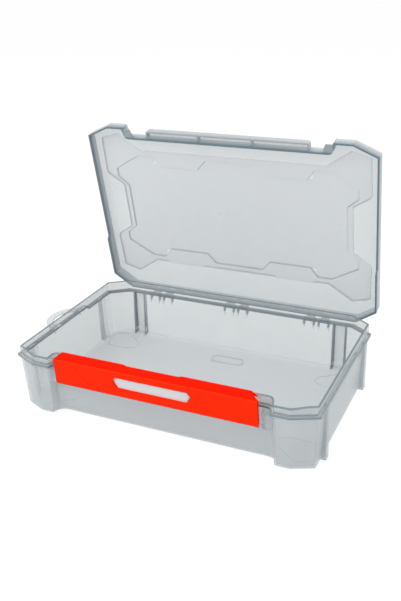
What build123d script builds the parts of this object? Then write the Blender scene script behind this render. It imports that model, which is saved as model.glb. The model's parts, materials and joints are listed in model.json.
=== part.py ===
# Tackle box: a clear moulded tray with corner pods, a hinged clear lid with a raised
# panel pattern, and a full-width latch flap that hooks over a ledge on the lid.
# Millimetres. +Z is up, the latch faces -Y, the right end is +X. The origin is the
# centre of the footprint on the plane that the tray stands on. The lid is shown open
# and the latch a little off its hooked position.

import os
from math import radians, tan

from build123d import *

os.makedirs("parts", exist_ok=True)

# Plan of the rim, measured over the flange
box_length = 356.0
box_depth = 228.6
front_chamfer_x = 28.0
front_chamfer_y = 12.7
back_chamfer_x = 25.0
back_chamfer_y = 18.0
recess_depth = 12.0
pod_length = 52.7
jog_slant = 3.0
chamfer_round = 12.0
pod_round = 3.2
recess_round = 4.0

# Tray walls
rim_height = 65.0
flange_thickness = 2.8
flange_round = 0.9
rim_step_space = 76.3
rim_step_drop = 3.5
rim_step_run = 4.0
lip_rise = 9.5
lip_fall = 3.3
lip_bevel = 0.6
wall = 2.0
floor_thickness = 2.2
wall_draft = 2.6
foot_bevel = 1.6

# Hollow pilasters on the end walls and the back wall
end_pilaster_space = 39.3
end_pilaster_width = 9.5
back_pilaster_space = 41.0
back_pilaster_width = 17.0
pilaster_wall = 1.8
pilaster_round = 1.2
pilaster_shelf_z = 9.0

# Low relief on the tray floor
pad_rise = 0.8
emblem_x = 4.0
emblem_space = 39.3
emblem_length = 42.0
emblem_width = 17.0
emblem_line = 1.4
emblem_rise = 0.5

# Pull loop on the left end
loop_y = 5.0
loop_radius = 33.8
loop_band = 8.5
loop_thickness = 2.4
loop_inboard = 6.0
loop_drop = 5.1
loop_edge_bevel = 0.6
loop_seat_depth = 7.0
loop_seat_clearance = 0.05
boss_width = 15.0
boss_height = 5.6
boss_spread = 28.0
boss_reach = 6.0

# Lid
lid_rise = 13.5
lid_panel = 2.0
lid_skirt = 2.0
lid_round = 1.2
lip_clearance = 0.7
lid_seat_gap = 0.3
relief_step = 0.6

# Ledge on the lid that the latch hooks over
ledge_end_space = 25.3
ledge_reach = 7.4
ledge_lip = 1.8
ledge_lip_height = 9.0
ledge_rib_x = 33.0
ledge_ridge_rise = 0.35
ledge_ridge_width = 0.8

# Webs in the corners between the lid's front and its pods
corner_web_length = 9.8
corner_web_lean = 4.0
corner_web_reach = 9.7
corner_web = 2.0

# Lid hinges
hinge_offset = 2.7
hinge_drop = 8.0
hinge_end_space = 71.8
ear_inner_x = 3.1
ear_outer_x = 15.4
ear_thickness = 2.2
ear_nose_radius = 3.2
ear_root_drop = 11.6
knuckle_radius = 2.4
knuckle_side_gap = 0.35
arm_rise = 13.2
hinge_pin_radius = 0.9
hinge_pin_overhang = 0.4
pin_running_clearance = 0.05
pin_seat_clearance = 0.02
lid_open_angle = 78.8

# Latch
latch_end_gap = 0.4
latch_thickness = 2.6
latch_gap = 3.2
latch_length = 38.9
latch_barrel_radius = 2.7
latch_roll_radius = 6.0
latch_hook_thickness = 3.0
latch_hook_drop = 2.5
latch_hook_gap = 0.3
latch_bead_width = 1.2
latch_bead_gap = 0.4
latch_corner_x = 9.5
latch_corner_z = 6.5
latch_corner_round = 2.5
latch_notch_half_length = 35.0
latch_notch_slant = 5.0
latch_notch_depth = 1.9
latch_rest_tilt = 5.4
latch_pin_radius = 1.25
latch_pin_engagement = 7.0
facet_depth = 0.3

# Label plate in the latch
window_half_length = 45.1
window_high_point = 3.4
window_low_point = 4.9
window_height = 13.2
window_rise = 11.8
window_tip_rise = 8.6
label_border = 1.4
label_thickness = 1.0
label_clearance = 0.1

# Lugs on the tray that carry the latch
lug_end_space = 6.5
lug_ear = 3.0
lug_nose_radius = 3.4
lug_plate = 2.0
lug_plate_inset = 0.6
lug_plate_reach = 6.4
lug_top_drop = 4.5
lug_gusset_drop = 11.4

# Worked out from the sizes above
half_x = box_length / 2
half_y = box_depth / 2
recess_half_length = half_x - pod_length
lip_inset = lid_skirt + lip_clearance
cavity_inset = lip_inset + wall
back_rim_height = rim_height - rim_step_drop
rim_step_y = half_y - rim_step_space
end_pilaster_y = half_y - end_pilaster_space
back_pilaster_x = half_x - back_pilaster_space
emblem_y = half_y - emblem_space
lid_bottom = rim_height + lid_seat_gap
lid_top = rim_height + lid_rise
lip_top = rim_height + lip_rise
recess_y = -half_y + recess_depth
ledge_front_y = recess_y - ledge_reach
ledge_half_length = recess_half_length - ledge_end_space
lug_inner_x = recess_half_length - lug_end_space
latch_half_length = lug_inner_x - latch_end_gap
latch_inner_y = ledge_front_y - latch_gap
latch_outer_y = latch_inner_y - latch_thickness
bead_bottom = lid_top + latch_hook_gap
bead_y = ledge_front_y + ledge_ridge_width + latch_bead_gap
latch_tip_y = bead_y + latch_bead_width
hook_underside = bead_bottom + latch_hook_drop
latch_top = hook_underside + latch_hook_thickness
latch_bottom = latch_top - latch_length
latch_pivot_y = latch_outer_y + latch_barrel_radius
latch_pivot_z = latch_bottom + latch_barrel_radius
window_low_z = latch_bottom + window_rise
hinge_y = half_y + hinge_offset
hinge_z = rim_height - hinge_drop
hinge_spacing = half_x - hinge_end_space
arm_foot_z = back_rim_height + lid_seat_gap + 0.4
hinge_axis = Axis((0, hinge_y, hinge_z), (1, 0, 0))
latch_axis = Axis((0, latch_pivot_y, latch_pivot_z), (1, 0, 0))
hinge_centres = [-hinge_spacing, 0.0, hinge_spacing]
knuckle_x = (ear_inner_x + ear_outer_x) / 2
knuckle_width = ear_outer_x - ear_inner_x - ear_thickness - 2 * knuckle_side_gap
hinge_pin_length = 2 * ear_outer_x + ear_thickness + 2 * hinge_pin_overhang
latch_pin_length = lug_ear + latch_end_gap + latch_pin_engagement
latch_pin_x = lug_inner_x + lug_ear - latch_pin_length / 2
latch_bore_depth = latch_pin_engagement + 0.5
lug_web_y = lip_inset + lug_plate_inset - half_y
lug_root_y = recess_y + lip_inset + wall
lug_web_end_x = recess_half_length + lug_plate_reach
lug_top_z = rim_height - lug_top_drop
lug_gusset_z = latch_bottom - lug_gusset_drop
loop_z = rim_height - loop_drop
loop_centre_x = loop_inboard - half_x
ear_offsets = [-ear_outer_x, -ear_inner_x, ear_inner_x, ear_outer_x]
sides = [-1, 1]
pilaster_tops = [(-1, rim_height - flange_thickness), (1, back_rim_height - flange_thickness)]


def draw_in(height):
    """Inward draw of a drafted wall at this height below the rim."""
    return (rim_height - height) * tan(radians(wall_draft))


def rim_outline(inset, pod_radius):
    """Plan of the rim with chamfered corners and the front recess, drawn in by inset."""
    right = [
        (recess_half_length, recess_y),
        (recess_half_length + jog_slant, -half_y),
        (half_x - front_chamfer_x, -half_y),
        (half_x, -half_y + front_chamfer_y),
        (half_x, half_y - back_chamfer_y),
        (half_x - back_chamfer_x, half_y),
    ]
    left = [(-x, y) for x, y in reversed(right)]
    with BuildSketch() as plan:
        with BuildLine():
            Polyline(*right, *left, close=True)
        make_face()
        if inset:
            offset(amount=-inset, kind=Kind.INTERSECTION)
        corners = plan.vertices()
        recess = corners.filter_by(lambda v: abs(v.Y - recess_y - inset) < 0.01)
        fronts = corners.filter_by(lambda v: v.Y < -half_y + inset + 0.01)
        pods = fronts.filter_by(lambda v: abs(v.X) < half_x - (front_chamfer_x + pod_length) / 2)
        ends = [v for v in corners if v not in recess and v not in pods]
        fillet(recess, radius=recess_round + inset)
        fillet(pods, radius=pod_radius)
        fillet(ends, radius=chamfer_round - inset)
    return plan.sketch


def polygon_face(points, radius):
    """Flat face through the points with its corners rounded."""
    with BuildSketch() as outline:
        with BuildLine():
            Polyline(*points, close=True)
        make_face()
        fillet(outline.vertices(), radius=radius)
    return outline.sketch


def corner_face(corners):
    """Flat face through corners given as (x, y, radius), a radius of 0 staying sharp."""
    with BuildSketch() as outline:
        with BuildLine():
            Polyline(*[(x, y) for x, y, _ in corners], close=True)
        make_face()
        for x, y, radius in corners:
            if radius:
                fillet(outline.vertices().sort_by_distance((x, y, 0))[0], radius=radius)
    return outline.sketch


def rim_line(rise, shift):
    """Side view of the stepped rim from front to back, raised and moved back."""
    return [
        (-half_y - 1, rim_height + rise),
        (rim_step_y + shift, rim_height + rise),
        (rim_step_y + rim_step_run + shift, back_rim_height + rise),
        (half_y + 1, back_rim_height + rise),
    ]


def mirrored(points):
    """The same points on the other side of the middle of the length."""
    return [(-x, y) for x, y in reversed(points)]


def band_plan(clearance):
    """Plan of the pull loop, from the bottom of one slot to the bottom of the other."""
    with BuildSketch() as band:
        with Locations((loop_centre_x, loop_y)):
            Circle(loop_radius + clearance)
            Circle(loop_radius - loop_band - clearance, mode=Mode.SUBTRACT)
        with Locations((loop_seat_depth - half_x - boss_reach + loop_radius + clearance, loop_y)):
            Rectangle(2 * loop_radius, 3 * loop_radius, mode=Mode.SUBTRACT)
    return band.sketch


loop_plan = band_plan(0)
loop_slot_plan = band_plan(loop_seat_clearance)
inner_pod_round = pod_round - wall
flange_plan = rim_outline(0, pod_round)
lip_plan = rim_outline(lip_inset, pod_round)
foot_plan = rim_outline(lip_inset + draw_in(0), pod_round)
cavity_plan = rim_outline(cavity_inset, inner_pod_round)
floor_plan = rim_outline(cavity_inset + draw_in(floor_thickness), inner_pod_round)
flange_root_plan = rim_outline(lip_inset + 1, pod_round)
skirt_plan = rim_outline(lid_skirt, inner_pod_round)

# Flange round the rim, one step lower towards the hinges
with BuildPart() as flange:
    with BuildSketch(Plane.YZ.offset(-half_x - 1)):
        with BuildLine():
            Polyline(*rim_line(0, 0), *reversed(rim_line(-flange_thickness, -1)), close=True)
        make_face()
    extrude(amount=box_length + 2)
    with BuildSketch():
        add(flange_plan)
        add(flange_root_plan, mode=Mode.SUBTRACT)
    extrude(amount=lip_top, mode=Mode.INTERSECT)

# Corner pad on the tray floor, at the back left, by its distances from the end and the back
pad_points = [
    (from_end - half_x, half_y - from_back)
    for from_end, from_back in (
        (19.2, 56.4),
        (11.7, 29.8),
        (11.5, 23.3),
        (29.3, 16.8),
        (36.5, 24.0),
        (56.1, 39.1),
        (57.2, 50.1),
        (45.6, 56.5),
    )
]

# Tray
with BuildPart() as tray_base:
    with BuildSketch(Plane.XY.offset(rim_height)):
        add(lip_plan)
    with BuildSketch():
        add(foot_plan)
    loft(ruled=True)
    chamfer(faces().sort_by(Axis.Z)[0].edges(), length=foot_bevel)
    with BuildSketch(Plane.XY.offset(rim_height)):
        add(lip_plan)
    extrude(amount=lip_rise)
    chamfer(faces().sort_by(Axis.Z)[-1].edges(), length=lip_bevel)

    # The lip falls towards the front of the pods
    with BuildSketch(Plane.YZ):
        with BuildLine():
            Polyline(
                (recess_y, lip_top),
                (-half_y, lip_top - lip_fall),
                (-half_y - 1, lip_top - lip_fall),
                (-half_y - 1, lip_top + 1),
                (recess_y, lip_top + 1),
                close=True,
            )
        make_face()
    extrude(amount=box_length, both=True, mode=Mode.SUBTRACT)

    # Pilasters, standing out to the edge of the flange
    for sy, top in pilaster_tops:
        with BuildSketch() as pilaster_plan:
            with Locations(*[(sx * (half_x - 6), sy * end_pilaster_y) for sx in sides]):
                Rectangle(12, end_pilaster_width)
            if sy > 0:
                with Locations(*[(sx * back_pilaster_x, half_y - 6) for sx in sides]):
                    Rectangle(back_pilaster_width, 12)
            fillet(pilaster_plan.vertices(), radius=pilaster_round)
        extrude(amount=top)

    # Cavity and the grooves inside the pilasters
    with BuildSketch(Plane.XY.offset(lip_top)):
        add(cavity_plan)
    extrude(amount=-lip_rise, mode=Mode.SUBTRACT)
    with BuildSketch(Plane.XY.offset(rim_height)):
        add(cavity_plan)
    with BuildSketch(Plane.XY.offset(floor_thickness)):
        add(floor_plan)
    loft(ruled=True, mode=Mode.SUBTRACT)
    for sy, top in pilaster_tops:
        with BuildSketch(Plane.XY.offset(floor_thickness)):
            with Locations(*[(sx * (half_x - 10), sy * end_pilaster_y) for sx in sides]):
                Rectangle(20 - 2 * pilaster_wall, end_pilaster_width - 2 * pilaster_wall)
        extrude(amount=top - floor_thickness, mode=Mode.SUBTRACT)
    with BuildSketch(Plane.XY.offset(pilaster_shelf_z)):
        with Locations(*[(sx * back_pilaster_x, half_y - 10) for sx in sides]):
            Rectangle(back_pilaster_width - 2 * pilaster_wall, 20 - 2 * pilaster_wall)
    extrude(amount=back_rim_height - flange_thickness - pilaster_shelf_z, mode=Mode.SUBTRACT)
    add(flange.part)

    # Ears that carry the hinge pins
    for centre in hinge_centres:
        for shift in ear_offsets:
            with BuildSketch(Plane.YZ.offset(centre + shift - ear_thickness / 2)):
                with BuildLine():
                    CenterArc((hinge_y, hinge_z), ear_nose_radius, 0, 360)
                    Line((half_y - 4, hinge_z - ear_root_drop), (half_y - 4, back_rim_height))
                make_hull()
            extrude(amount=ear_thickness)
    with Locations(Pos(0, hinge_y, hinge_z)):
        Cylinder(
            hinge_pin_radius + pin_seat_clearance,
            box_length,
            rotation=(0, 90, 0),
            mode=Mode.SUBTRACT,
        )

    # Corner pads and emblem frame on the floor
    with BuildSketch(Plane.XY.offset(floor_thickness - 0.2)):
        add(corner_face([(x, y, 0) for x, y in pad_points]))
        mirror(about=Plane.YZ)
        mirror(about=Plane.XZ)
    extrude(amount=pad_rise + 0.2)
    with BuildSketch(Plane.XY.offset(floor_thickness - 0.2)):
        with Locations((emblem_x, emblem_y)):
            Rectangle(emblem_length, emblem_width)
        chamfer(vertices(), length=emblem_width / 2 - 1, length2=3.0)
        offset(amount=-emblem_line, mode=Mode.SUBTRACT)
    extrude(amount=emblem_rise + 0.2)

    # Lugs at the ends of the latch, braced to the walls of the pods
    for side in sides:
        with BuildSketch(Plane.YZ.offset(side * (lug_inner_x + lug_ear / 2))):
            with BuildLine():
                CenterArc((latch_pivot_y, latch_pivot_z), lug_nose_radius, 0, 360)
                Line((lug_root_y, lug_gusset_z), (lug_root_y, lug_top_z))
                Line((lug_web_y - lug_plate / 2, lug_top_z), (lug_web_y + lug_plate / 2, lug_top_z))
            make_hull()
        extrude(amount=lug_ear / 2, both=True)
        with BuildSketch(Plane.XY.offset(latch_bottom)):
            with Locations((side * (lug_inner_x + lug_web_end_x) / 2, lug_web_y)):
                Rectangle(lug_web_end_x - lug_inner_x - 1, lug_plate)
        extrude(amount=lug_top_z - latch_bottom)
        with Locations(Pos(side * (lug_inner_x + lug_ear / 2), latch_pivot_y, latch_pivot_z)):
            Cylinder(
                latch_pin_radius + pin_seat_clearance,
                lug_ear,
                rotation=(0, 90, 0),
                mode=Mode.SUBTRACT,
            )

    # Slotted bosses that hold the ends of the pull loop
    with BuildSketch(Plane.XY.offset(loop_z - boss_height / 2)):
        with Locations(*[(-half_x - boss_reach / 2 + 1.75, loop_y + s * boss_spread) for s in sides]):
            Rectangle(boss_reach + 3.5, boss_width)
    extrude(amount=boss_height)
    with BuildSketch(Plane.XY.offset(loop_z - loop_thickness / 2 - loop_seat_clearance)):
        add(loop_slot_plan)
    extrude(amount=loop_thickness + 2 * loop_seat_clearance, mode=Mode.SUBTRACT)

tray_base.part.label = "tray_base"
export_step(tray_base.part, "parts/tray_base.step")

# Pull loop, a flat band bent to a half circle with its ends in the bosses
with BuildPart() as pull_loop:
    with BuildSketch(Plane.XY.offset(loop_z - loop_thickness / 2)):
        add(loop_plan)
    extrude(amount=loop_thickness)
    chamfer(edges().filter_by(GeomType.CIRCLE), length=loop_edge_bevel)

pull_loop.part.label = "pull_loop"
export_step(pull_loop.part, "parts/pull_loop.step")


# Pattern on the lid panel: the front right quarter, as parts of half the length and half the depth
lid_pattern_y = -3.0
outer_field = [
    (0.275, 0.682),
    (0.654, 0.682),
    (0.816, 0.857),
    (0.938, 0.801),
    (0.944, 0.411),
    (0.933, 0.376),
    (0.823, 0.262),
]
inner_field = [
    (0.177, 0.621),
    (0.236, 0.512),
    (0.528, 0.512),
    (0.576, 0.621),
    (0.674, 0.621),
    (0.860, 0.451),
    (0.860, 0.350),
    (0.787, 0.254),
]
pad_field = [
    (0.244, 0.534),
    (0.522, 0.534),
    (0.567, 0.634),
    (0.548, 0.674),
    (0.281, 0.674),
    (0.256, 0.630),
]


def four_quarters(field):
    """Whole outline from the parts that give its front right quarter."""
    quarter = [(half_x * x, half_y * y) for x, y in field]
    front = [(x, lid_pattern_y - y) for x, y in quarter]
    back = [(x, lid_pattern_y + y) for x, y in reversed(quarter)]
    right = front + back
    return right + mirrored(right)


outer_plan = corner_face([(x, y, 0) for x, y in four_quarters(outer_field)])
inner_plan = corner_face([(x, y, 0) for x, y in four_quarters(inner_field)])
pad_plan = corner_face([(half_x * x, -half_y * y, 0) for x, y in pad_field])

# Lid, drawn closed
with BuildPart() as lid_closed:
    with BuildSketch(Plane.YZ.offset(-half_x - 1)):
        with BuildLine():
            Polyline(
                *rim_line(lid_seat_gap, lid_seat_gap),
                (half_y + 1, lid_top),
                (-half_y - 1, lid_top),
                close=True,
            )
        make_face()
    extrude(amount=box_length + 2)
    with BuildSketch():
        add(flange_plan)
    extrude(amount=lid_top + 1, mode=Mode.INTERSECT)
    with BuildSketch(Plane.XY.offset(lid_top - ledge_lip_height)):
        with Locations((0, (ledge_front_y + recess_y + 1) / 2)):
            Rectangle(2 * ledge_half_length, ledge_reach + 1)
        fillet(vertices().group_by(Axis.Y)[0], radius=1.5)
    extrude(amount=ledge_lip_height)
    fillet(faces().sort_by(Axis.Z)[-1].outer_wire().edges(), radius=lid_round)
    with BuildSketch(Plane.XY.offset(back_rim_height)):
        add(skirt_plan)
    extrude(amount=lid_top - lid_panel - back_rim_height, mode=Mode.SUBTRACT)

    # Hollow of the ledge, with two ribs across it
    with BuildSketch(Plane.XY.offset(lid_top - ledge_lip_height)):
        with Locations((0, (ledge_front_y + ledge_lip + recess_y) / 2)):
            Rectangle(2 * (ledge_half_length - ledge_lip), ledge_reach - ledge_lip)
        with Locations(*[(s * ledge_rib_x, recess_y) for s in sides]):
            Rectangle(ledge_lip, 2 * ledge_reach, mode=Mode.SUBTRACT)
    extrude(amount=ledge_lip_height - lid_panel, mode=Mode.SUBTRACT)
    with BuildSketch(Plane.YZ):
        with BuildLine():
            Polyline(
                (ledge_front_y, lid_top - lid_round - 0.3),
                (ledge_front_y, lid_top + ledge_ridge_rise - 0.15),
                (ledge_front_y + 0.15, lid_top + ledge_ridge_rise),
                (ledge_front_y + ledge_ridge_width - 0.2, lid_top + ledge_ridge_rise),
                (ledge_front_y + ledge_ridge_width, lid_top - 0.2),
                (ledge_front_y + ledge_ridge_width, lid_top - lid_round - 0.3),
                close=True,
            )
        make_face()
    extrude(amount=ledge_half_length - 2, both=True)

    # Webs in the corners beside the pods
    web_x = recess_half_length - corner_web_length
    web_points = [
        (web_x, recess_y + 1),
        (web_x + corner_web_lean, recess_y - corner_web_reach),
        (recess_half_length + jog_slant + 1, recess_y - corner_web_reach),
        (recess_half_length + 1, recess_y + 1),
    ]
    with BuildSketch(Plane.XY.offset(lid_bottom)):
        with BuildLine():
            Polyline(*web_points, close=True)
        make_face()
        mirror(about=Plane.YZ)
    extrude(amount=corner_web)

    # Raised pattern, hollowed below so that the panel keeps one thickness
    for level, mode in ((lid_top, Mode.ADD), (lid_top - lid_panel, Mode.SUBTRACT)):
        with BuildSketch(Plane.XY.offset(level)):
            add(outer_plan)
        extrude(amount=relief_step, taper=30, mode=mode)
        with BuildSketch(Plane.XY.offset(level + relief_step)):
            add(inner_plan)
        extrude(amount=relief_step, taper=30, mode=mode)
        for sx in sides:
            for sy in sides:
                with BuildSketch(Plane.XY.offset(level + relief_step)) as pad:
                    add(pad_plan)
                    if sx < 0:
                        mirror(about=Plane.YZ, mode=Mode.REPLACE)
                    if sy > 0:
                        mirror(about=Plane.XZ, mode=Mode.REPLACE)
                extrude(amount=relief_step, taper=30, mode=mode)

    # Hinge knuckles on arms that pass outside the flange
    for centre in hinge_centres:
        for side in sides:
            with BuildSketch(Plane.YZ.offset(centre + side * knuckle_x)):
                with Locations((hinge_y, hinge_z)):
                    Circle(knuckle_radius)
                with BuildLine():
                    Polyline(
                        (hinge_y - knuckle_radius, hinge_z),
                        (hinge_y - knuckle_radius, arm_foot_z),
                        (half_y - lid_skirt / 2, arm_foot_z),
                        (half_y - lid_skirt / 2, arm_foot_z + arm_rise),
                        (half_y + 0.3, arm_foot_z + arm_rise),
                        (hinge_y + knuckle_radius, arm_foot_z),
                        (hinge_y + knuckle_radius, hinge_z),
                        close=True,
                    )
                make_face()
            extrude(amount=knuckle_width / 2, both=True)
    with Locations(Pos(0, hinge_y, hinge_z)):
        Cylinder(
            hinge_pin_radius + pin_running_clearance,
            box_length,
            rotation=(0, 90, 0),
            mode=Mode.SUBTRACT,
        )

with BuildPart() as lid:
    add(lid_closed.part.rotate(hinge_axis, -lid_open_angle))

lid.part.label = "lid"
export_step(lid.part, "parts/lid.step")

# Hinge pins
pin_names = ["hinge_pin_left", "hinge_pin_middle", "hinge_pin_right"]
for pin_name, centre in zip(pin_names, hinge_centres):
    with BuildPart() as hinge_pin:
        with Locations(Pos(centre, hinge_y, hinge_z)):
            Cylinder(hinge_pin_radius, hinge_pin_length, rotation=(0, 90, 0))
    hinge_pin.part.label = pin_name
    export_step(hinge_pin.part, f"parts/{pin_name}.step")

# Latch, drawn hooked
latch_profile = corner_face(
    [
        (latch_outer_y, latch_pivot_z, 0),
        (latch_outer_y, latch_top, latch_roll_radius),
        (latch_tip_y, latch_top, 0.8),
        (latch_tip_y, bead_bottom, 0.4),
        (bead_y, bead_bottom, 0.4),
        (bead_y, hook_underside, 0.5),
        (latch_inner_y, hook_underside, latch_roll_radius - latch_thickness),
        (latch_inner_y, latch_pivot_z, 0),
    ]
)
latch_side = [
    (latch_half_length, latch_bottom - 1, 0),
    (latch_half_length, latch_top - latch_corner_z, latch_corner_round),
    (latch_half_length - latch_corner_x, latch_top, latch_corner_round),
    (latch_notch_half_length, latch_top, 1.5),
    (latch_notch_half_length - latch_notch_slant, latch_top - latch_notch_depth, 1.5),
]
latch_front = corner_face(latch_side + [(-x, z, radius) for x, z, radius in reversed(latch_side)])
window_side = [
    (window_half_length - window_low_point, window_low_z),
    (window_half_length, window_low_z + window_tip_rise),
    (window_half_length - window_high_point, window_low_z + window_height),
]
window_points = window_side + mirrored(window_side)
facet_points = [
    (window_half_length + 13.3, latch_bottom + 30.0),
    (window_half_length + 48.0, latch_bottom + 28.2),
    (window_half_length + 28.2, latch_bottom + 6.1),
    (window_half_length + 3.7, latch_bottom + 11.4),
]

with BuildPart() as latch_hooked:
    with BuildSketch(Plane.YZ):
        add(latch_profile)
        with Locations((latch_pivot_y, latch_pivot_z)):
            Circle(latch_barrel_radius)
    extrude(amount=latch_half_length, both=True)
    with BuildSketch(Plane.XZ.offset(-latch_outer_y)):
        add(latch_front)
    extrude(amount=20, both=True, mode=Mode.INTERSECT)
    with BuildSketch(Plane.XZ.offset(-latch_outer_y)):
        add(polygon_face(window_points, 1.0))
    extrude(amount=-latch_thickness, mode=Mode.SUBTRACT)
    with BuildSketch(Plane.XZ.offset(-latch_inner_y)):
        add(polygon_face(window_points, 1.0))
        offset(amount=label_border)
    extrude(amount=label_thickness, mode=Mode.SUBTRACT)
    for side in sides:
        with BuildSketch(Plane.XZ.offset(-latch_outer_y)):
            add(polygon_face([(side * x, z) for x, z in facet_points[::side]], 1.0))
        extrude(amount=-facet_depth, mode=Mode.SUBTRACT)
        with Locations(Pos(side * (latch_half_length - latch_bore_depth / 2), latch_pivot_y, latch_pivot_z)):
            Cylinder(
                latch_pin_radius + pin_running_clearance,
                latch_bore_depth,
                rotation=(0, 90, 0),
                mode=Mode.SUBTRACT,
            )

with BuildPart() as latch:
    add(latch_hooked.part.rotate(latch_axis, latch_rest_tilt))

latch.part.label = "latch"
export_step(latch.part, "parts/latch.step")

# Label plate, set in the back of the window
with BuildPart() as label_hooked:
    with BuildSketch(Plane.XZ.offset(-latch_inner_y)):
        add(polygon_face(window_points, 1.0))
        offset(amount=label_border - label_clearance)
    extrude(amount=label_thickness)

with BuildPart() as latch_label:
    add(label_hooked.part.rotate(latch_axis, latch_rest_tilt))

latch_label.part.label = "latch_label"
export_step(latch_label.part, "parts/latch_label.step")

# Latch pins
for side, pin_name in zip(sides, ["latch_pin_left", "latch_pin_right"]):
    with BuildPart() as latch_pin:
        with Locations(Pos(side * latch_pin_x, latch_pivot_y, latch_pivot_z)):
            Cylinder(latch_pin_radius, latch_pin_length, rotation=(0, 90, 0))
    latch_pin.part.label = pin_name
    export_step(latch_pin.part, f"parts/{pin_name}.step")
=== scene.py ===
import json
import math

import bpy
from mathutils import Matrix, Vector


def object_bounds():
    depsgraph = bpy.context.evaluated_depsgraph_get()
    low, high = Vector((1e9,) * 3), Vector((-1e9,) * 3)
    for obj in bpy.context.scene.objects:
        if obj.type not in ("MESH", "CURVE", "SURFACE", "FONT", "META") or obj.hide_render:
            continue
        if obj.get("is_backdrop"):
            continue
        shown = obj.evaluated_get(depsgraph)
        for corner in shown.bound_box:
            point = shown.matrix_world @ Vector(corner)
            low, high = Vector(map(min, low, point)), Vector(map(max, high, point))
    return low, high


bl_info = {
    "name": "Clear tackle box",
    "version": (1, 0, 0),
    "blender": (4, 5, 0),
    "location": "3D View > Sidebar > Tackle Box",
    "description": "Dresses a clear moulded tackle box and its red latch, and sets its studio",
    "category": "Object",
}

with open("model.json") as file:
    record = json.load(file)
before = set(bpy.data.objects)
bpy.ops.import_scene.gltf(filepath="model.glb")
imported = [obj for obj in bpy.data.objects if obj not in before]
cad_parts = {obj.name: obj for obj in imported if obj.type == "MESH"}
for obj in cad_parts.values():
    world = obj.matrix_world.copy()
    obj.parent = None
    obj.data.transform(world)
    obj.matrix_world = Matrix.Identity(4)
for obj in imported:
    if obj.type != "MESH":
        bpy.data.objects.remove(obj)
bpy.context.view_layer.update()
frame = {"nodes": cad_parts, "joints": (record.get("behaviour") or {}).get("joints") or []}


class Wire:
    """One socket of a node tree, so that shader maths reads as plain arithmetic."""

    def __init__(self, tree, socket):
        self.tree = tree
        self.socket = socket

    @classmethod
    def add(cls, tree, kind, settings=None, values=None, out=0):
        """A new node with its settings, then the values or links of its sockets."""
        node = tree.nodes.new(kind)
        for name, value in (settings or {}).items():
            if name == "stops":
                for element, (place, shade) in zip(node.color_ramp.elements, value):
                    element.position = place
                    element.color = shade
            else:
                setattr(node, name, value)
        for name, value in (values or {}).items():
            if isinstance(value, Wire):
                tree.links.new(value.socket, node.inputs[name])
            else:
                node.inputs[name].default_value = value
        return cls(tree, node.outputs[out] if len(node.outputs) else None)

    def math(self, operation, *values):
        """A Math node on this value and the others."""
        given = dict(enumerate((self, *values)))
        return Wire.add(self.tree, "ShaderNodeMath", {"operation": operation}, given)

    def __add__(self, other):
        return self.math("ADD", other)

    def __radd__(self, other):
        return self.math("ADD", other)

    def __sub__(self, other):
        return self.math("SUBTRACT", other)

    def __rsub__(self, other):
        given = {0: other, 1: self}
        return Wire.add(self.tree, "ShaderNodeMath", {"operation": "SUBTRACT"}, given)

    def __mul__(self, other):
        return self.math("MULTIPLY", other)

    def __rmul__(self, other):
        return self.math("MULTIPLY", other)

    def __pow__(self, other):
        return self.math("POWER", other)

    def most(self, other):
        """The larger of this value and the other."""
        return self.math("MAXIMUM", other)

    def above(self, edge, blur):
        """0 below the edge and 1 above it, over this much blur."""
        return ((self - edge) * (1.0 / blur) + 0.5).clamped()

    def near(self, middle, reach, blur):
        """1 within reach of the middle and 0 outside it, over this much blur."""
        return 1.0 - (self - middle).size().above(reach, blur)

    def size(self):
        """This value without its sign."""
        return self.math("ABSOLUTE")

    def clamped(self):
        """This value kept between 0 and 1."""
        return Wire.add(self.tree, "ShaderNodeClamp", {}, {0: self})

    def between(self, low, high):
        """A colour that goes from low to high as this value goes from 0 to 1."""
        given = {0: self, 6: low, 7: high}
        return Wire.add(self.tree, "ShaderNodeMix", {"data_type": "RGBA"}, given, out=2)


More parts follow.
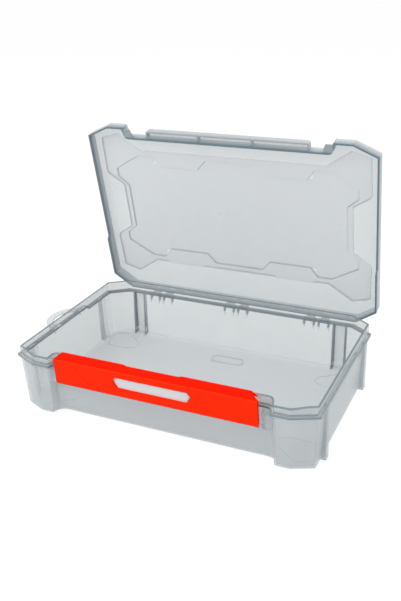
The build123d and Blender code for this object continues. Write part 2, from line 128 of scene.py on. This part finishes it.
class Finish:
    """A new material with the nodes that a moulded finish shares."""

    def __init__(self, name, slot):
        self.slot = slot
        self.material = bpy.data.materials.new(name)
        self.material.use_nodes = True
        self.tree = self.material.node_tree
        self.tree.nodes.clear()
        self.place = self.add("ShaderNodeTexCoord", out=3)

    def add(self, kind, settings=None, values=None, out=0):
        return Wire.add(self.tree, kind, settings, values, out)

    def noise(self, scale, detail=3.0, roughness=0.5, stretch=(1, 1, 1)):
        """Noise in the row frame, per metre, drawn out along an axis by stretch."""
        stretched = self.add(
            "ShaderNodeVectorMath",
            {"operation": "MULTIPLY"},
            {0: self.place, 1: stretch},
        )
        given = {"Vector": stretched, "Scale": scale, "Detail": detail, "Roughness": roughness}
        return self.add("ShaderNodeTexNoise", {}, given)

    def bump(self, height, strength, distance):
        """A normal from a height."""
        given = {"Height": height, "Strength": strength, "Distance": distance}
        return self.add("ShaderNodeBump", {}, given)

    def spot(self):
        """The three distances of a point in the row frame, in metres."""
        parts = self.add("ShaderNodeSeparateXYZ", {}, {0: self.place})
        return [Wire(self.tree, socket) for socket in parts.socket.node.outputs]

    def facing(self):
        """The three parts of a face's direction in the row frame."""
        normal = self.add("ShaderNodeTexCoord", out=1)
        parts = self.add("ShaderNodeSeparateXYZ", {}, {0: normal})
        return [Wire(self.tree, socket) for socket in parts.socket.node.outputs]

    def shader(self, **values):
        """A Principled shader with these sockets."""
        given = {name.replace("_", " "): value for name, value in values.items()}
        return self.add("ShaderNodeBsdfPrincipled", {}, given)

    def surface(self, **values):
        """The shader itself, fed to the output."""
        self.add("ShaderNodeOutputMaterial", {}, {"Surface": self.shader(**values)})
        return self.material

    def milky(self, density, tone, **values):
        """A shader that shows as far as density says, over a tinted clear one."""
        clear = self.add("ShaderNodeBsdfTransparent", {}, {"Color": tone})
        body = self.shader(**values)
        mixed = self.add("ShaderNodeMixShader", {}, {0: density, 1: clear, 2: body})
        self.add("ShaderNodeOutputMaterial", {}, {"Surface": mixed})
        return self.material


def tint(colour, amount):
    """The colour made lighter or darker by a factor, as a shader colour."""
    return tuple(min(1.0, channel * amount) for channel in colour[:3]) + (1.0,)


def dress(node, material):
    """Gives a CAD piece its finish and smooth shading with crisp edges."""
    piece = frame["nodes"][node]
    piece.data.materials.clear()
    piece.data.materials.append(material)
    for face in piece.data.polygons:
        face.use_smooth = True
    piece.data.set_sharp_from_angle(angle=math.radians(28))
    return piece


class BoxSettings(bpy.types.PropertyGroup):
    """Colours and finish of the box."""

    clear_colour: bpy.props.FloatVectorProperty(
        name="Clear tint",
        description="What one surface of a clear wall leaves of white light",
        subtype="COLOR",
        size=3,
        min=0.0,
        max=1.0,
        default=(0.93, 0.945, 0.948),
    )
    milky_colour: bpy.props.FloatVectorProperty(
        name="Milky body",
        description="Colour of the haze in the clear walls",
        subtype="COLOR",
        size=3,
        min=0.0,
        max=1.0,
        default=(0.62, 0.65, 0.665),
    )
    edge_colour: bpy.props.FloatVectorProperty(
        name="Thick edges",
        description="Colour of the clear plastic where it is thick or seen edge on",
        subtype="COLOR",
        size=3,
        min=0.0,
        max=1.0,
        default=(0.13, 0.19, 0.23),
    )
    haze: bpy.props.FloatProperty(
        name="Haze",
        description="Share of the milky body in one surface seen straight on",
        subtype="FACTOR",
        min=0.0,
        max=1.0,
        default=0.285,
    )
    edge_haze: bpy.props.FloatProperty(
        name="Slanting haze",
        description="Share that the milky body gains on a surface seen at a slant",
        subtype="FACTOR",
        min=0.0,
        max=1.0,
        default=0.5,
    )
    thick_haze: bpy.props.FloatProperty(
        name="Edge haze",
        description="Share that the milky body gains on thick edges",
        subtype="FACTOR",
        min=0.0,
        max=1.0,
        default=0.7,
    )
    latch_colour: bpy.props.FloatVectorProperty(
        name="Latch",
        description="Colour of the latch flap",
        subtype="COLOR",
        size=3,
        min=0.0,
        max=1.0,
        default=(0.98, 0.024, 0.002),
    )
    label_colour: bpy.props.FloatVectorProperty(
        name="Label plate",
        description="Colour of the plate in the latch's window",
        subtype="COLOR",
        size=3,
        min=0.0,
        max=1.0,
        default=(0.64, 0.66, 0.68),
    )
    loop_colour: bpy.props.FloatVectorProperty(
        name="Pull loop",
        description="Colour of the soft loop on the left end",
        subtype="COLOR",
        size=3,
        min=0.0,
        max=1.0,
        default=(0.70, 0.73, 0.74),
    )


class StageSettings(bpy.types.PropertyGroup):
    """Studio and camera."""

    azimuth: bpy.props.FloatProperty(
        name="Azimuth",
        description="Angle of the camera round the box, from straight in front",
        subtype="ANGLE",
        default=math.radians(25.39),
    )
    elevation: bpy.props.FloatProperty(
        name="Elevation",
        description="Angle of the camera above the table",
        subtype="ANGLE",
        default=math.radians(24.30),
    )
    roll: bpy.props.FloatProperty(
        name="Roll",
        description="Tilt of the camera about its own line of sight",
        subtype="ANGLE",
        default=math.radians(-1.885),
    )
    distance: bpy.props.FloatProperty(
        name="Distance",
        description="Distance from the camera to the point that it looks at",
        subtype="DISTANCE",
        unit="LENGTH",
        min=0.1,
        default=0.9004,
    )
    target: bpy.props.FloatVectorProperty(
        name="Target",
        description="Point that the camera looks at",
        subtype="TRANSLATION",
        unit="LENGTH",
        size=3,
        default=(0.005136, 0.0, 0.11697),
    )
    lens: bpy.props.FloatProperty(
        name="Focal length",
        description="Focal length on a picture 36 mm tall",
        subtype="DISTANCE_CAMERA",
        min=10.0,
        default=48.06,
    )
    light: bpy.props.FloatProperty(
        name="Light",
        description="Strength of all the lamps together",
        subtype="FACTOR",
        min=0.0,
        soft_max=2.0,
        default=1.0,
    )


def clear_finish(name, settings, thick_places):
    """Clear moulded plastic: milky haze, cool thick edges, flow lines and faint sink marks."""
    finish = Finish(name, "clear_plastic")
    flow = finish.noise(9.0, 4.0, 0.55, (1.0, 2.2, 1.0))
    fine = finish.noise(420.0, 2.0, 0.5)
    cloud = finish.noise(26.0, 3.0, 0.6)
    thick, extra = thick_places(finish)
    glance = finish.add("ShaderNodeLayerWeight", {}, {"Blend": 0.5}, out=1)
    slant = glance ** 4.0
    haze = settings.haze * (0.92 + cloud * 0.16) + extra
    density = haze + slant * settings.edge_haze + thick * settings.thick_haze
    wave = flow * 0.89 + fine * 0.015 + cloud * 0.095
    body = tint(settings.milky_colour, 1.0)
    edge = tint(settings.edge_colour, 1.0)
    return finish.milky(
        density.clamped(),
        tint(settings.clear_colour, 1.0),
        Base_Color=thick.between(body, edge),
        Roughness=0.24 + cloud * 0.12,
        IOR=1.48,
        Normal=finish.bump(wave, 0.3, 0.003),
    )


def rim_fall(y):
    """How far the rim lies lower towards the hinges, in metres."""
    return y.above(0.040, 0.004) * 0.0035


def tray_places(finish):
    """The tray's thick places, 1 at the thickest, and its extra haze."""
    x, y, z = finish.spot()
    across, deep = x.size(), y.size()
    level = z + rim_fall(y)
    flange = level.near(0.0636, 0.0014, 0.0004) * 0.8 + level.near(0.0624, 0.0004, 0.0004) * 0.2
    droop = (-0.1023 - y).most(0.0) * 0.275
    lip = (z + droop).above(0.0737, 0.0008) * 0.9
    foot = 1.0 - z.above(0.0014, 0.0012)
    # The floor panel gets less haze, which lets it show lighter: painted light against the shade that
    # falls under the tray.
    floor_panel_painted_lift = 1.0 - z.above(0.0032, 0.0004)
    jogs = across.near(0.1295, 0.0012, 0.0030) * (1.0 - y.above(-0.1000, 0.0010))
    pads = z.near(0.00265, 0.00025, 0.0001)
    walls = 1.0 - level.above(0.0612, 0.0004)
    back_sides = (across - 0.137).size().near(0.0076, 0.0012, 0.0006) * y.above(0.1045, 0.0004)
    end_sides = (deep - 0.075).size().near(0.0039, 0.0010, 0.0006) * across.above(0.1690, 0.0004)
    pilasters = (back_sides + end_sides * 0.25).clamped() * walls
    ears = y.above(0.1150, 0.0004) * walls
    hollows = (across - 0.137).size().near(0.0, 0.0085, 0.0004) * y.above(0.1045, 0.0004) * walls
    boss = 1.0 - x.above(-0.1784, 0.0004)
    thick = flange + lip + foot * 0.3 + pads * 0.5 + pilasters * 0.7 + ears * 0.9 + jogs * walls * 0.35
    return thick.clamped() * (1.0 - boss), hollows * 0.1 - floor_panel_painted_lift * 0.08 - boss * 0.25


def lid_places(finish):
    """The lid's thick places, 1 at the thickest, and its extra haze."""
    x, y, z = finish.spot()
    _, lean_y, lean_z = finish.facing()
    hinge = next(joint for joint in frame["joints"] if joint["name"] == "lid_hinge")
    opened = -math.radians(hinge["range_deg"][0])
    swing, stand = math.sin(opened), math.cos(opened)
    pivot_y, pivot_z = hinge["pos_m"][1:]
    out, up = y - pivot_y, z - pivot_z
    closed_y = out * stand - up * swing + pivot_y
    closed_z = out * swing + up * stand + pivot_z
    tilt = (lean_y * swing + lean_z * stand).size()
    level = closed_z + rim_fall(closed_y)
    arms = closed_y.above(0.1146, 0.0004)
    webs = (1.0 - closed_y.above(-0.1030, 0.0004)) * (1.0 - x.size().above(0.1277, 0.0004))
    end = level.above(0.0640, 0.0004) * (1.0 - level.above(0.0685, 0.0060)) * (1.0 - webs * 0.7)
    side = 1.0 - closed_z.above(0.0764, 0.0004)
    slopes = tilt.near(0.5, 0.25, 0.1) * closed_z.above(0.0755, 0.0004)
    along = x.size() * (1.0 / 0.178)
    pads = (closed_y + 0.003).size().above(0.0600, 0.0006) * along.near(0.41, 0.155, 0.01)
    raised = closed_z.above(0.0794, 0.0002) + closed_z.near(0.0777, 0.0002, 0.0002)
    border = closed_z.near(0.0765, 0.0002, 0.0002) + closed_z.near(0.0785, 0.0002, 0.0002)
    thick = end * 0.65 + side * 0.4 + slopes * 0.8
    extra = 0.13 - border * 0.16 - raised * pads * 0.2
    return thick.clamped() * (1.0 - arms), extra - arms * 0.1


class TACKLEBOX_OT_tray(bpy.types.Operator):
    """Dresses the clear tray"""

    bl_idname = "tacklebox.tray"
    bl_label = "Tray"

    def execute(self, context):
        material = clear_finish("tray_clear", context.scene.tackle_box, tray_places)
        dress("tray_base", material)
        return {"FINISHED"}


class TACKLEBOX_OT_lid(bpy.types.Operator):
    """Dresses the clear lid"""

    bl_idname = "tacklebox.lid"
    bl_label = "Lid"

    def execute(self, context):
        material = clear_finish("lid_clear", context.scene.tackle_box, lid_places)
        dress("lid", material)
        return {"FINISHED"}


class TACKLEBOX_OT_latch(bpy.types.Operator):
    """Dresses the red latch flap"""

    bl_idname = "tacklebox.latch"
    bl_label = "Latch"

    def execute(self, context):
        finish = Finish("latch_red", "red_plastic")
        red = context.scene.tackle_box.latch_colour
        cloud = finish.noise(38.0, 4.0, 0.6)
        grain = finish.noise(1500.0, 2.0, 0.5)
        _, _, z = finish.spot()
        # The end faces, turned along x, take a dark red: painted shade, as if the ends lay in shadow.
        end = finish.facing()[0].size().above(0.85, 0.1)
        # The rolled top above this height takes a darker, deeper red: painted shade on the roll.
        roll = z.above(0.0784, 0.0010)
        # A thin band just under the roll is lightened: a painted highlight line.
        painted_highlight_line = z.near(0.0774, 0.0004, 0.0010)
        face = cloud.between(tint(red, 0.90), tint(red, 1.04))
        roll_painted_shade = (roll * 0.9).between(face, (0.90, 0.009, 0.0, 1.0))
        lit = (painted_highlight_line * 0.6).between(roll_painted_shade, (1.0, 0.065, 0.012, 1.0))
        # The base colour below carries painted shade on the ends and on the roll, and a painted
        # highlight line.
        material = finish.surface(
            Base_Color=(end * 0.8).between(lit, tint(red, 0.3)),
            Roughness=0.42 + grain * 0.08 + cloud * 0.06,
            Specular_IOR_Level=0.03,
            Normal=finish.bump(grain * 0.4 + cloud * 0.6, 0.12, 0.0006),
        )
        dress("latch", material)
        return {"FINISHED"}


class TACKLEBOX_OT_label(bpy.types.Operator):
    """Dresses the pale plate in the latch's window"""

    bl_idname = "tacklebox.label"
    bl_label = "Label plate"

    def execute(self, context):
        finish = Finish("label_grey", "label_plate")
        grey = context.scene.tackle_box.label_colour
        brush = finish.noise(300.0, 3.0, 0.6, (0.05, 1.0, 1.0))
        material = finish.surface(
            Base_Color=brush.between(tint(grey, 0.95), tint(grey, 1.04)),
            Roughness=0.35 + brush * 0.15,
            Normal=finish.bump(brush, 0.1, 0.0003),
        )
        dress("latch_label", material)
        return {"FINISHED"}


class TACKLEBOX_OT_loop(bpy.types.Operator):
    """Dresses the soft pull loop"""

    bl_idname = "tacklebox.loop"
    bl_label = "Pull loop"

    def execute(self, context):
        finish = Finish("loop_soft", "soft_plastic")
        settings = context.scene.tackle_box
        cloud = finish.noise(60.0, 3.0, 0.6)
        glance = finish.add("ShaderNodeLayerWeight", {}, {"Blend": 0.5}, out=1)
        pale = settings.loop_colour
        material = finish.milky(
            0.42 + cloud * 0.1 + glance * glance * 0.4,
            tint(settings.clear_colour, 1.05),
            Base_Color=cloud.between(tint(pale, 0.96), tint(pale, 1.03)),
            Roughness=0.3 + cloud * 0.12,
            IOR=1.45,
            Normal=finish.bump(cloud, 0.2, 0.001),
        )
        dress("pull_loop", material)
        return {"FINISHED"}


class TACKLEBOX_OT_pins(bpy.types.Operator):
    """Dresses the hinge pins and the latch pins"""

    bl_idname = "tacklebox.pins"
    bl_label = "Pins"

    def execute(self, context):
        finish = Finish("pin_wire", "pin_steel")
        draw = finish.noise(900.0, 3.0, 0.6, (0.04, 1.0, 1.0))
        material = finish.surface(
            Base_Color=draw.between((0.46, 0.47, 0.48, 1.0), (0.66, 0.67, 0.68, 1.0)),
            Metallic=1.0,
            Roughness=0.25 + draw * 0.2,
            Normal=finish.bump(draw, 0.15, 0.0001),
        )
        for node in frame["nodes"]:
            if "_pin_" in node:
                dress(node, material)
        return {"FINISHED"}


class TACKLEBOX_OT_stage(bpy.types.Operator):
    """Builds the white floor, the soft lamps and the camera"""

    bl_idname = "tacklebox.stage"
    bl_label = "Stage"

    def execute(self, context):
        settings = context.scene.tackle_box_stage
        self.floor()
        self.world(context.scene)
        self.lamps(settings.light)
        self.camera(context.scene, settings)
        context.scene.view_settings.view_transform = "Standard"
        context.scene.cycles.transparent_max_bounces = 32
        return {"FINISHED"}

    def seen(self, tree):
        """1 where the camera, a reflection or a clear wall looks at the surface."""
        camera = Wire.add(tree, "ShaderNodeLightPath")
        glossy = Wire(tree, camera.socket.node.outputs["Is Glossy Ray"])
        passed = Wire(tree, camera.socket.node.outputs["Is Transmission Ray"])
        return (camera + glossy + passed).clamped()

    def floor(self):
        finish = Finish("floor_white", None)
        tree = finish.tree
        cloud = finish.noise(3.0, 2.0, 0.5)
        pale = cloud.between((0.90, 0.90, 0.90, 1.0), (0.93, 0.93, 0.93, 1.0))
        matt = finish.add("ShaderNodeBsdfDiffuse", {}, {"Color": pale})
        white = finish.add("ShaderNodeEmission", {}, {"Color": (1.0, 1.0, 1.0, 1.0), "Strength": 1.07})
        part = self.seen(tree) * 0.8
        mixed = finish.add("ShaderNodeMixShader", {}, {0: part, 1: matt, 2: white})
        finish.add("ShaderNodeOutputMaterial", {}, {"Surface": mixed})
        mesh = bpy.data.meshes.new("floor")
        reach = 6.0
        corners = [(-reach, -reach, 0), (reach, -reach, 0), (reach, reach, 0), (-reach, reach, 0)]
        mesh.from_pydata(corners, [], [(0, 1, 2, 3)])
        mesh.materials.append(finish.material)
        floor = bpy.data.objects.new("floor", mesh)
        floor.location.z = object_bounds()[0].z - 0.0004
        bpy.context.scene.collection.objects.link(floor)
        floor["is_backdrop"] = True

    def world(self, scene):
        world = bpy.data.worlds.new("studio")
        world.use_nodes = True
        tree = world.node_tree
        tree.nodes.clear()
        strength = 0.72 + self.seen(tree) * 0.28
        light = Wire.add(
            tree,
            "ShaderNodeBackground",
            {},
            {"Color": (1.0, 1.0, 1.0, 1.0), "Strength": strength},
        )
        Wire.add(tree, "ShaderNodeOutputWorld", {}, {"Surface": light})
        scene.world = world

    def lamps(self, level):
        for name, place, size, power in (
            ("key_softbox", (-0.9, -1.1, 1.5), 1.2, 17.0),
            ("fill_softbox", (1.3, -0.8, 1.1), 1.4, 3.0),
            ("back_softbox", (0.2, 1.4, 1.6), 1.4, 7.0),
        ):
            lamp = bpy.data.lights.new(name, "AREA")
            lamp.size = size
            lamp.energy = power * level
            holder = bpy.data.objects.new(name, lamp)
            holder.location = place
            aim = Vector((0.0, 0.0, 0.08)) - Vector(place)
            holder.rotation_mode = "QUATERNION"
            holder.rotation_quaternion = aim.to_track_quat("-Z", "Y")
            bpy.context.scene.collection.objects.link(holder)

    def camera(self, scene, settings):
        turn, rise = settings.azimuth, settings.elevation
        back = Vector(
            (
                math.sin(turn) * math.cos(rise),
                -math.cos(turn) * math.cos(rise),
                math.sin(rise),
            )
        )
        level = Vector((0, 0, 1)).cross(back).normalized()
        upright = back.cross(level)
        across = math.cos(settings.roll) * level + math.sin(settings.roll) * upright
        upward = math.cos(settings.roll) * upright - math.sin(settings.roll) * level
        data = bpy.data.cameras.new("photo_camera")
        data.sensor_fit = "AUTO"
        data.sensor_width = 36.0
        data.lens = settings.lens
        data.clip_end = 50.0
        camera = bpy.data.objects.new("photo_camera", data)
        spot = Vector(settings.target) + back * settings.distance
        axes = Matrix((across, upward, back)).transposed().to_4x4()
        camera.matrix_world = Matrix.Translation(spot) @ axes
        scene.collection.objects.link(camera)
        scene.camera = camera


steps = (
    TACKLEBOX_OT_tray,
    TACKLEBOX_OT_lid,
    TACKLEBOX_OT_latch,
    TACKLEBOX_OT_label,
    TACKLEBOX_OT_loop,
    TACKLEBOX_OT_pins,
    TACKLEBOX_OT_stage,
)


class TACKLEBOX_PT_panel(bpy.types.Panel):
    """Colours of the tackle box and a button for each piece"""

    bl_idname = "TACKLEBOX_PT_panel"
    bl_label = "Tackle Box"
    bl_space_type = "VIEW_3D"
    bl_region_type = "UI"
    bl_category = "Tackle Box"

    def draw(self, context):
        layout = self.layout
        for group in (context.scene.tackle_box, context.scene.tackle_box_stage):
            for name in group.bl_rna.properties.keys():
                if name not in ("rna_type", "name"):
                    layout.prop(group, name)
        for step in steps:
            layout.operator(step.bl_idname)


classes = (BoxSettings, StageSettings, *steps, TACKLEBOX_PT_panel)


def register():
    for cls in classes:
        bpy.utils.register_class(cls)
    bpy.types.Scene.tackle_box = bpy.props.PointerProperty(type=BoxSettings)
    bpy.types.Scene.tackle_box_stage = bpy.props.PointerProperty(type=StageSettings)


def unregister():
    del bpy.types.Scene.tackle_box_stage
    del bpy.types.Scene.tackle_box
    for cls in reversed(classes):
        bpy.utils.unregister_class(cls)


def main():
    register()
    bpy.ops.tacklebox.tray()
    bpy.ops.tacklebox.lid()
    bpy.ops.tacklebox.latch()
    bpy.ops.tacklebox.label()
    bpy.ops.tacklebox.loop()
    bpy.ops.tacklebox.pins()
    bpy.ops.tacklebox.stage()


if __name__ == "__main__":
    main()
